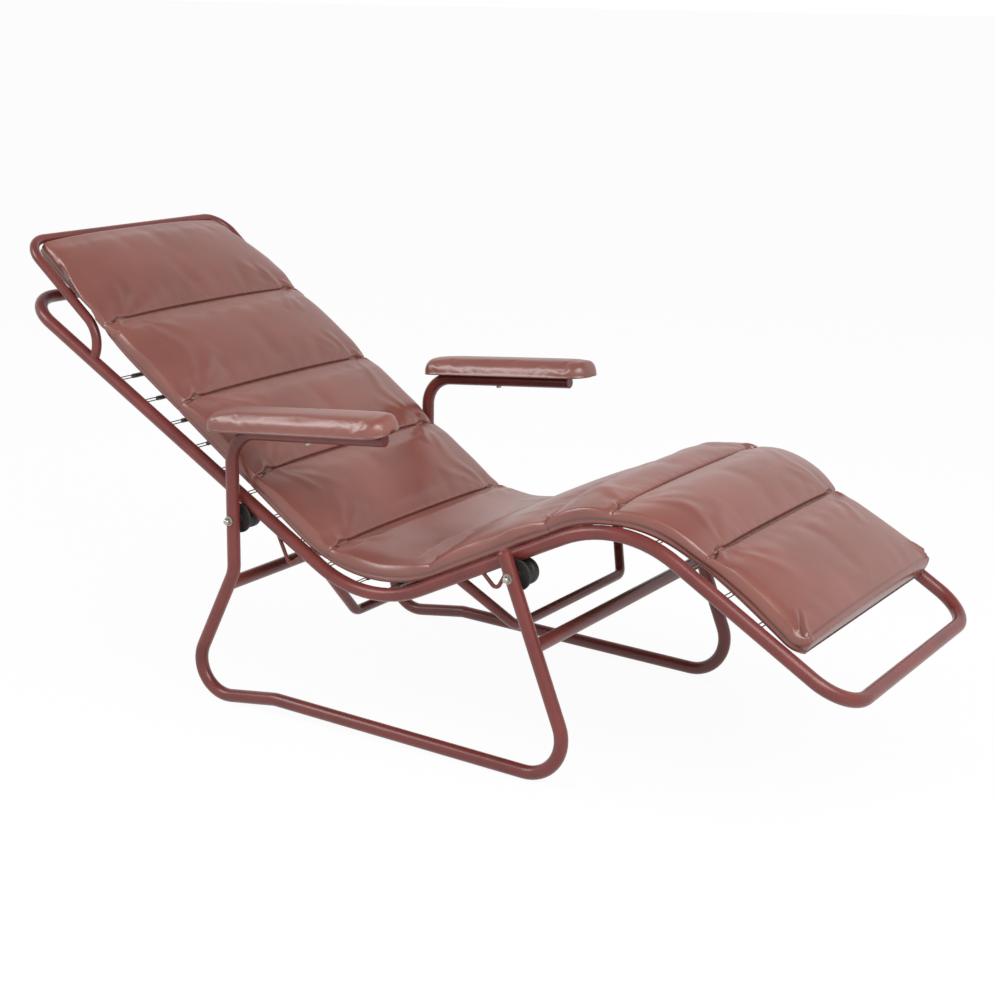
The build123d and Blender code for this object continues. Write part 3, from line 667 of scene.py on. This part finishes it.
# %% Seams, ears and folds
chance = np.random.default_rng(5)
SLIT_PLACES = np.array([0, 4, 12, 22, 30, 40, 47, 62, 400]) * MM
SLIT_CROOK = np.array([7, 7, 5, 3, -3, -6, -3, 0, 0])
SLIT_END = 50 * MM
FAN_START = 48 * MM
from_edge = fine_half[:, None] - np.abs(fine_across)
along = np.broadcast_to(fine_rows[:, None], from_edge.shape)
lift = np.zeros(from_edge.shape)
dark = np.zeros(from_edge.shape)


def bell(value, width):
    """A smooth bump of height one."""
    return np.exp(-((value / width) ** 2))


for seam_place in seam_places[1:-1]:
    for side in (-1, 1):
        here = (np.sign(fine_across) == side) & (np.abs(along - seam_place) < 260 * MM) & on_top
        edge, ahead = from_edge[here], along[here] - seam_place
        wander = chance.uniform(-1.5, 1.5, len(SLIT_PLACES)) * (SLIT_PLACES < SLIT_END)
        off = ahead - np.interp(edge, SLIT_PLACES, (SLIT_CROOK + wander) * MM)
        at_end = bell(edge - 22 * MM, 26 * MM)
        groove = bell(off, (2.8 - 0.8 * at_end) * MM)
        waves = [np.sin(edge / MM * often + chance.uniform(0, 6)) for often in (0.33, 0.12)]
        change = -(2.5 + 1.8 * at_end) * MM * groove
        change += 0.4 * MM * waves[0] * waves[1] * bell(ahead, 14 * MM)
        ear_side = chance.choice([-1, -1, 1])
        change += 4.5 * MM * bell(edge - 26 * MM, 15 * MM) * bell(off - ear_side * 9 * MM, 7 * MM)
        for way in (-1, 1):
            for lean in (16, 38, 62):
                turn_out = math.radians(lean + chance.uniform(-7, 7))
                reach = chance.uniform(80, 150) * MM
                run = (edge - FAN_START) * math.cos(turn_out) + way * ahead * math.sin(turn_out)
                beside = way * ahead * math.cos(turn_out) - (edge - FAN_START) * math.sin(turn_out)
                taper = np.clip(run / reach, 0, 1) * np.clip(1 - run / reach, 0, 1) * 4
                width = (6 + 80 * np.clip(run, 0, None)) * MM
                change += chance.uniform(1.2, 2.6) * MM * taper * bell(beside, width)
        lift[here] += change
        # Painted shade: the slit is also darkened on the leather, for the shadow inside it
        slit = bell(off, 1.3 * MM) * (0.75 + 0.25 * at_end) * (edge > 3 * MM)
        dark[here] = np.maximum(dark[here], slit)
print("seams", len(seam_places) - 2, "grooves down to", round(float(lift.min()) / MM, 1), "mm")

# %% Foot corners, foot edge and hems
foot_edge = seam_places[-1] - END_ROOM
for side in (-1, 1):
    here = (np.sign(fine_across) == side) & (along > foot_edge - 130 * MM) & on_top
    edge, ahead = from_edge[here], foot_edge - along[here]
    inward, beside = (edge + ahead) / math.sqrt(2), (edge - ahead) / math.sqrt(2)
    taper = np.clip(inward / (18 * MM), 0, 1) * np.clip(1 - (inward - 18 * MM) / (50 * MM), 0, 1)
    pleat = 4.5 * bell(np.abs(beside) - 7 * MM, 4.5 * MM) - 2.5 * bell(beside, 3 * MM)
    lift[here] += taper * MM * pleat
    # Painted shade: each pleat's middle line is darkened, for the shadow in that fold
    dark[here] = np.maximum(dark[here], 0.85 * bell(beside, 1.8 * MM) * np.clip(taper * 1.3, 0, 1))
foot_line = bell(fine_rows - foot_edge + 3 * MM, 2.2 * MM)[:, None] * on_top
lift -= 1.2 * MM * foot_line
# Painted shade: the groove along the foot edge is darkened as well
dark = np.maximum(dark, 0.45 * foot_line)
down_side = np.linspace(0, 1, SIDE_FINE)
hem = -1.3 * bell(down_side - 0.6, 0.07) + 0.9 * bell(down_side - 0.8, 0.1)
left_part = slice(TOP_FINE, TOP_FINE + SIDE_FINE)
right_part = slice(fine_points.shape[1] - SIDE_FINE, fine_points.shape[1])
for part, order in ((left_part, 1), (right_part, -1)):
    lift[:, part] += hem[::order] * MM
    # Painted shade: the hem's groove is darkened along both sides
    dark[:, part] = 0.6 * bell(down_side - 0.6, 0.05)[::order]

mesh = mattress.data
flat_normals = np.empty(len(mesh.vertices) * 3, np.float32)
mesh.vertices.foreach_get("normal", flat_normals)
moved = fine_points.reshape(-1, 3) + flat_normals.reshape(-1, 3) * lift.reshape(-1, 1)
mesh.vertices.foreach_set("co", moved.reshape(-1).astype(np.float32))
mesh.update()
# The painted shade of slits, pleats, foot edge and hem goes to the leather as a point attribute
shade_marks = mesh.attributes.new("painted_shade", "FLOAT", "POINT")
shade_marks.data.foreach_set("value", dark.reshape(-1).astype(np.float32))
mesh.materials.append(leather)
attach(mattress, "cradle")
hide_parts("mattress_cover", "mattress_filling")
print("mattress", len(mesh.polygons), "faces, folds up to", round(float(lift.max()) / MM, 1), "mm")

# %% [markdown]
# ## Armrest pads
# Each pad is stuffed leather over a board: rolled sides, a low crown, a piped lip along its lower edge and
# round ends. It hangs a little over the board, which lies in a hollow below. Rings along the pad give its
# form, and a short cloth run fills it. The two pads lie a little differently on their tubes, as they are
# screwed on in the photograph, and the right one is a little longer. A subdivided box could be used as
# well, but rings keep the lip crisp.

# %% Armrest pads
PAD_LENGTH, PAD_HALF, PAD_HEIGHT = 372 * MM, 41 * MM, 30 * MM
BOARD_INSET, BOARD_HEIGHT = 3.6 * MM, 9.4 * MM
END_ROUND = {"rear": 24 * MM, "front": 34 * MM}
END_SLOPE, END_FADE = 19 * MM, 35 * MM
LIP_HEIGHT = 3.4 * MM
ARM_RISE, ARM_Y = math.radians(5.2), 309 * MM
arm_root = Vector((-X_MIDDLE, 0, 507 * MM))


def rounded_half(distance, half, rear, front, length):
    """Half width of a rounded outline at distances from its rear end."""
    from_rear = np.clip(rear - distance, 0, rear)
    from_front = np.clip(distance - (length - front), 0, front)
    rear_part = rear - np.sqrt(rear**2 - from_rear**2)
    return half - rear_part - (front - np.sqrt(np.clip(front**2 - from_front**2, 0, None)))


def pad_rings(length):
    """Rings of a pad, in its own frame: (along, across, up)."""
    closing = np.array([0, 0.4, 1.2, 2.6, 3.4]) * MM
    middle = np.linspace(4.2 * MM, length - 4.2 * MM, 90)
    spots = np.concatenate([closing, middle, length - closing[::-1]])
    rings = []
    for spot in spots:
        half = max(rounded_half(spot, PAD_HALF, *END_ROUND.values(), length), 4 * MM)
        to_end = min(spot, length - spot)
        height = PAD_HEIGHT * (1 - 0.72 * max(0, 1 - to_end / END_SLOPE) ** 3)
        inside = BOARD_INSET < to_end
        ceiling = BOARD_HEIGHT if inside else 0.4 * MM
        hollow = max(half - BOARD_INSET, 2 * MM)
        turn = np.linspace(0, math.pi / 2, 22)
        out = half * np.cos(turn) ** (2 / 2.9)
        up = LIP_HEIGHT + (height - LIP_HEIGHT) * np.sin(turn) ** (2 / 2.6)
        lip_out = half + np.array([-1.2, 0.8, 1.3, 0.4]) * MM
        lip_up = np.array([0, 0.3, 1.6, 2.9]) * MM
        below_out = np.array([0.5 * hollow, hollow, hollow])
        below_up = np.array([ceiling, ceiling, 0.1 * MM])
        out = np.concatenate([below_out, lip_out, out])
        up = np.concatenate([below_up, lip_up, up])
        across = np.concatenate([out, -out[-2::-1]])
        up = np.concatenate([up, up[-2::-1]])
        rings.append(np.stack([np.full(len(across), spot), across, up], axis=-1))
    return np.array(rings)


for side, sign, ahead, roll, spare in (("left", 1, 9.5, 1.0, 0), ("right", -1, -33.0, 8.0, 9)):
    rings = pad_rings(PAD_LENGTH + spare * MM)
    tilt = math.radians(roll)
    along = Vector((math.cos(ARM_RISE), 0, math.sin(ARM_RISE)))
    rise_x, rise_z = -math.sin(ARM_RISE), math.cos(ARM_RISE)
    up = Vector((rise_x * math.cos(tilt), sign * math.sin(tilt), rise_z * math.cos(tilt)))
    over_tube = Vector((rise_x, 0, rise_z)) * (TUBE_RADIUS + 0.3 * MM) / math.cos(tilt)
    start = arm_root + Vector((0, sign * ARM_Y, 0)) + along * ahead * MM + over_tube
    turn = np.array([along, up.cross(along), up])
    pad_points = rings @ turn + np.array(start)
    pad = closed_rings(f"{side}_leather_pad", pad_points)
    held = np.zeros(rings.shape[:2], bool)
    held[:, :8] = True
    held[:, -8:] = True
    held[[0, 1, -2, -1]] = True
    filled_pad = filled(pad, held.reshape(-1), pressure=3.0, slack=0.005, frames=16, most=3 * MM)
    swell = filled_pad.reshape(pad_points.shape) - pad_points
    to_end = np.minimum(rings[:, 0, 0], rings[-1, 0, 0] - rings[:, 0, 0])
    swell *= np.clip(to_end / END_FADE, 0, 1)[:, None, None]
    pad.data.vertices.foreach_set("co", (pad_points + swell).reshape(-1).astype(np.float32))
    pad.data.update()
    # Painted shade: a dark line where the roll meets the piped lip, for the shadow in that crease
    crease = np.zeros(rings.shape[:2])
    crease[:, [6, 7, -7, -6]] = 0.5
    shade_marks = pad.data.attributes.new("painted_shade", "FLOAT", "POINT")
    shade_marks.data.foreach_set("value", crease.reshape(-1).astype(np.float32))
    pad.data.materials.append(leather)
    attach(pad, "base")
    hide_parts(f"{side}_arm_pad")
print("pads of", len(pad.data.polygons), "faces")

# %% [markdown]
# ## Canvas sling
# A strip of canvas is stretched between the two edge rods. It passes over each rod, turns round it and
# comes back below as a hem. Its section is drawn once, given its thickness, and run along the cradle's
# line. A plane with Solidify would be quicker, but it would have no hems.

# %% Canvas sling
ROD_Y, ROD_RADIUS, CANVAS_T = 182 * MM, 2.5 * MM, 1.0 * MM
SLING_RISE, SLING_START, SLING_END = 8 * MM, 238 * MM, 322 * MM
wrap = ROD_RADIUS + CANVAS_T / 2 + 0.15 * MM
turn = np.linspace(math.pi / 2, -math.pi * 0.6, 12)
round_rod = np.stack([ROD_Y + wrap * np.cos(turn), wrap * np.sin(turn)], axis=-1)
over = np.stack([np.linspace(0, ROD_Y - 4 * MM, 24), np.full(24, wrap)], axis=-1)
hem_back = np.array([[174, -1.9], [168, -0.2], [160, 1.0], [151, 1.4]]) * MM
half_section = np.concatenate([over, round_rod, hem_back])
section = np.concatenate([half_section[:0:-1] * (-1, 1), half_section])
steps = np.gradient(section, axis=0)
steps /= np.linalg.norm(steps, axis=1, keepdims=True)
outward = np.stack([-steps[:, 1], steps[:, 0]], axis=-1) * CANVAS_T / 2
loop = np.concatenate([section + outward, (section - outward)[::-1]])
sling_line = raised_cradle_line(SLING_RISE, SLING_START, SLING_END)
sling_rows = np.linspace(1 * MM, sling_line[0][-1] - 1 * MM, 170)
places, _, normals = along_line(sling_line, sling_rows)
sling_rings = np.repeat(loop[None], len(sling_rows), axis=0)
sling = closed_rings("canvas_strip", set_across(sling_rings, places, normals))
girth = np.concatenate([[0], np.cumsum(np.linalg.norm(np.diff(section, axis=0), axis=1))])
cloth_x = np.concatenate([girth, girth[::-1]])
cloth_uv = np.stack(np.meshgrid(sling_rows, cloth_x, indexing="ij"), axis=-1).reshape(-1, 2)
corner_vertex = np.empty(len(sling.data.loops), np.int32)
sling.data.loops.foreach_get("vertex_index", corner_vertex)
cloth_layer = sling.data.uv_layers.new(name="cloth")
cloth_layer.data.foreach_set("uv", cloth_uv[corner_vertex].reshape(-1).astype(np.float32))
sling.data.materials.append(canvas)
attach(sling, "cradle")
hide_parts("canvas_sling")
print("canvas strip", round(float(girth[-1]), 3), "by", round(float(sling_rows[-1]), 3), "m")

# %% [markdown]
# ## Springs
# Twenty-two springs on each side pull the rods out towards the rails. Each is wound wire: a long flat hook
# in a hole of the rail, a close coil, and an eye round the rod. One spring is built in Geometry Nodes and
# set on a point for each place, turned to follow the cradle. A loop could copy one mesh as well, but here
# the sizes stay inputs of the tree.

# %% Places of the springs
SPRING_COUNT, SPRING_FIRST, SPRING_PITCH = 22, 22 * MM, 68.6 * MM
HOOK_Y = 271.3 * MM
rail_line = raised_cradle_line(0, SLING_START, SLING_END)
spring_rows = SPRING_FIRST + SPRING_PITCH * np.arange(SPRING_COUNT)
places, directions, normals = along_line(rail_line, spring_rows)
spots, turns = [], []
for side in (1, -1):
    for place_at, direction, normal in zip(places, directions, normals):
        spot = place_at + normal * SLING_RISE
        inward = Vector((0, -side, 0))
        forward_dir = Vector((direction[0], 0, direction[1]))
        axes = Matrix((forward_dir, inward.cross(forward_dir), inward)).transposed()
        spots.append((spot[0], side * HOOK_Y, spot[1]))
        turns.append(tuple(axes.to_euler()))
spring_mesh = bpy.data.meshes.new("platform_springs")
spring_mesh.from_pydata(spots, [], [])
turn_attribute = spring_mesh.attributes.new("turn", "FLOAT_VECTOR", "POINT")
turn_attribute.data.foreach_set("vector", np.array(turns, np.float32).reshape(-1))
spring_points = bpy.data.objects.new("platform_springs", spring_mesh)
bpy.context.scene.collection.objects.link(spring_points)
print("spring places", len(spots))

# %% One wound spring, repeated
tree = bpy.data.node_groups.new("hooked_springs", "GeometryNodeTree")
tree.interface.new_socket("Geometry", in_out="OUTPUT", socket_type="NodeSocketGeometry")
tree.interface.new_socket("Geometry", in_out="INPUT", socket_type="NodeSocketGeometry")
wanted = {
    "Hook Length": 28.3 * MM,
    "Hook Width": 6.4 * MM,
    "Coil Radius": 3.4 * MM,
    "Coil Length": 44.0 * MM,
    "Eye Reach": 61.3 * MM,
    "Eye Radius": 4.0 * MM,
    "Wire Radius": 1.0 * MM,
}
for name in wanted:
    tree.interface.new_socket(name, in_out="INPUT", socket_type="NodeSocketFloat")
given = add_node(tree, "NodeGroupInput").outputs


def along_z(tree, curve, distance):
    """Move a curve along the spring by a linked distance."""
    offset = add_node(tree, "ShaderNodeCombineXYZ", {"Z": distance})
    moved = {"Geometry": curve, "Translation": offset.outputs["Vector"]}
    return add_node(tree, "GeometryNodeTransform", moved).outputs["Geometry"]


coil = add_node(
    tree,
    "GeometryNodeCurveSpiral",
    {
        "Resolution": 12,
        "Rotations": 17.0,
        "Start Radius": given["Coil Radius"],
        "End Radius": given["Coil Radius"],
        "Height": given["Coil Length"],
    },
)
loop_box = add_node(
    tree,
    "GeometryNodeCurvePrimitiveQuadrilateral",
    {"Width": given["Hook Width"], "Height": given["Hook Length"]},
)
loop_round = add_node(
    tree,
    "GeometryNodeFilletCurve",
    {"Curve": loop_box.outputs["Curve"], "Radius": 3.0 * MM, "Count": 5},
    mode="POLY",
)
upright = add_node(
    tree,
    "GeometryNodeTransform",
    {"Geometry": loop_round.outputs["Curve"], "Rotation": (math.pi / 2, 0, 0)},
)
half_hook = add_node(tree, "ShaderNodeMath", {0: given["Hook Length"], 1: 0.5}, operation="MULTIPLY")
eye = add_node(
    tree,
    "GeometryNodeCurvePrimitiveCircle",
    {"Resolution": 14, "Radius": given["Eye Radius"]},
)
eye_turned = add_node(
    tree,
    "GeometryNodeTransform",
    {"Geometry": eye.outputs["Curve"], "Rotation": (0, math.pi / 2, 0)},
)
neck_start = add_node(
    tree,
    "ShaderNodeMath",
    {0: given["Hook Length"], 1: given["Coil Length"]},
    operation="ADD",
)
eye_middle = add_node(
    tree,
    "ShaderNodeMath",
    {0: given["Hook Length"], 1: given["Eye Reach"]},
    operation="ADD",
)
neck_end = add_node(
    tree,
    "ShaderNodeMath",
    {0: eye_middle.outputs["Value"], 1: given["Eye Radius"]},
    operation="SUBTRACT",
)
neck_from = add_node(tree, "ShaderNodeCombineXYZ", {"Z": neck_start.outputs["Value"]})
neck_to = add_node(tree, "ShaderNodeCombineXYZ", {"Z": neck_end.outputs["Value"]})
neck = add_node(
    tree,
    "GeometryNodeCurvePrimitiveLine",
    {"Start": neck_from.outputs["Vector"], "End": neck_to.outputs["Vector"]},
)
curves = add_node(tree, "GeometryNodeJoinGeometry")
for curve in (
    along_z(tree, coil.outputs["Curve"], given["Hook Length"]),
    along_z(tree, upright.outputs["Geometry"], half_hook.outputs["Value"]),
    along_z(tree, eye_turned.outputs["Geometry"], eye_middle.outputs["Value"]),
    neck.outputs["Curve"],
):
    tree.links.new(curve, curves.inputs["Geometry"])
wire_round = add_node(
    tree,
    "GeometryNodeCurvePrimitiveCircle",
    {"Resolution": 6, "Radius": given["Wire Radius"]},
)
wound = add_node(
    tree,
    "GeometryNodeCurveToMesh",
    {"Curve": curves.outputs["Geometry"], "Profile Curve": wire_round.outputs["Curve"], "Fill Caps": True},
)
turn_of = add_node(tree, "GeometryNodeInputNamedAttribute", {"Name": "turn"}, data_type="FLOAT_VECTOR")
placed = add_node(
    tree,
    "GeometryNodeInstanceOnPoints",
    {
        "Points": given["Geometry"],
        "Instance": wound.outputs["Mesh"],
        "Rotation": turn_of.outputs["Attribute"],
    },
)
real = add_node(tree, "GeometryNodeRealizeInstances", {"Geometry": placed.outputs["Instances"]})
smooth = add_node(tree, "GeometryNodeSetShadeSmooth", {"Geometry": real.outputs["Geometry"]})
painted = add_node(
    tree,
    "GeometryNodeSetMaterial",
    {"Geometry": smooth.outputs["Geometry"], "Material": wire},
)
add_node(tree, "NodeGroupOutput", {"Geometry": painted.outputs["Geometry"]})
print("spring tree of", len(tree.nodes), "nodes")

# %% Turn the springs into a mesh
maker = spring_points.modifiers.new("springs", "NODES")
maker.node_group = tree
for item in tree.interface.items_tree:
    if item.in_out == "INPUT" and item.name in wanted:
        maker[item.identifier] = wanted[item.name]
spring_points.update_tag()
bpy.context.view_layer.update()
made = bpy.data.meshes.new_from_object(spring_points.evaluated_get(bpy.context.evaluated_depsgraph_get()))
spring_points.modifiers.remove(maker)
spring_points.data = made
made.materials.clear()
made.materials.append(wire)
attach(spring_points, "cradle")
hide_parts("left_springs", "right_springs")
print("springs", len(spots), "faces", len(made.polygons))

# %% [markdown]
# ## Floor and light
# A plain pale floor and soft studio light from large lamps, at a level at which a colour renders about as
# it is written. The floor and the world are white to the camera, and the floor keeps a faint shadow of the
# chair. What the leather and the enamel mirror is white at the sides and darker overhead.

# %% Floor
floor_mesh = bpy.data.meshes.new("floor")
reach = 400.0
floor_mesh.from_pydata(
    [(-reach, -reach, 0), (reach, -reach, 0), (reach, reach, 0), (-reach, reach, 0)], [], [(0, 1, 2, 3)]
)
floor = bpy.data.objects.new("floor", floor_mesh)
bpy.context.scene.collection.objects.link(floor)
pale, tree, shader = new_material("pale_floor")
shader.inputs["Base Color"].default_value = (0.86, 0.86, 0.86, 1)
shader.inputs["Roughness"].default_value = 0.9
glow = add_node(tree, "ShaderNodeEmission", {"Color": (1, 1, 1, 1), "Strength": 1.0})
rays = add_node(tree, "ShaderNodeLightPath")
seen = add_node(
    tree,
    "ShaderNodeMath",
    {0: rays.outputs["Is Camera Ray"], 1: rays.outputs["Is Glossy Ray"]},
    operation="MAXIMUM",
)
share = add_node(tree, "ShaderNodeMath", {0: seen.outputs["Value"], 1: 0.95}, operation="MULTIPLY")
lit = add_node(
    tree,
    "ShaderNodeMixShader",
    {0: share.outputs["Value"], 1: shader.outputs["BSDF"], 2: glow.outputs["Emission"]},
)
tree.links.new(lit.outputs["Shader"], tree.nodes["Material Output"].inputs["Surface"])
floor_mesh.materials.append(pale)
print("floor", 2 * reach, "m across")

# %% World and lamps
world = bpy.data.worlds.new("studio")
world.use_nodes = True
bpy.context.scene.world = world
tree = world.node_tree
rays = add_node(tree, "ShaderNodeLightPath")
direction = add_node(tree, "ShaderNodeTexCoord").outputs["Generated"]
height = add_node(tree, "ShaderNodeSeparateXYZ", {"Vector": direction}).outputs["Z"]
mirrored = add_node(
    tree,
    "ShaderNodeMapRange",
    {"Value": height, "From Min": 0.45, "From Max": 0.85, "To Min": 1.0, "To Max": 0.35},
    interpolation_type="SMOOTHSTEP",
)
plain = add_node(
    tree,
    "ShaderNodeMapRange",
    {"Value": rays.outputs["Is Camera Ray"], "To Min": 0.5, "To Max": 1.0},
)
strength = add_node(
    tree,
    "ShaderNodeMix",
    {
        "Factor": rays.outputs["Is Glossy Ray"],
        "A": plain.outputs["Result"],
        "B": mirrored.outputs["Result"],
    },
)
background = tree.nodes["Background"]
background.inputs["Color"].default_value = (1, 1, 1, 1)
tree.links.new(strength.outputs["Result"], background.inputs["Strength"])


def add_lamp(name, position, target, size, power):
    """A large soft square lamp aimed at a point."""
    data = bpy.data.lights.new(name, "AREA")
    data.size = size
    data.energy = power
    lamp = bpy.data.objects.new(name, data)
    lamp.location = position
    lamp.rotation_euler = (Vector(target) - Vector(position)).to_track_quat("-Z", "Y").to_euler()
    bpy.context.scene.collection.objects.link(lamp)


add_lamp("key_lamp", (2.0, -1.8, 2.6), (0.1, 0, 0.4), 1.8, 48)
add_lamp("top_lamp", (-0.6, 0.6, 4.0), (0, 0, 0.4), 3.0, 34)
add_lamp("left_lamp", (-2.1, -1.9, 2.5), (-0.15, -0.3, 0.5), 1.3, 36)
add_lamp("foot_lamp", (2.2, -0.6, 1.9), (0.75, 0, 0.5), 1.2, 22)
bpy.data.objects["top_lamp"].visible_glossy = False

bpy.context.scene.view_settings.view_transform = "Standard"
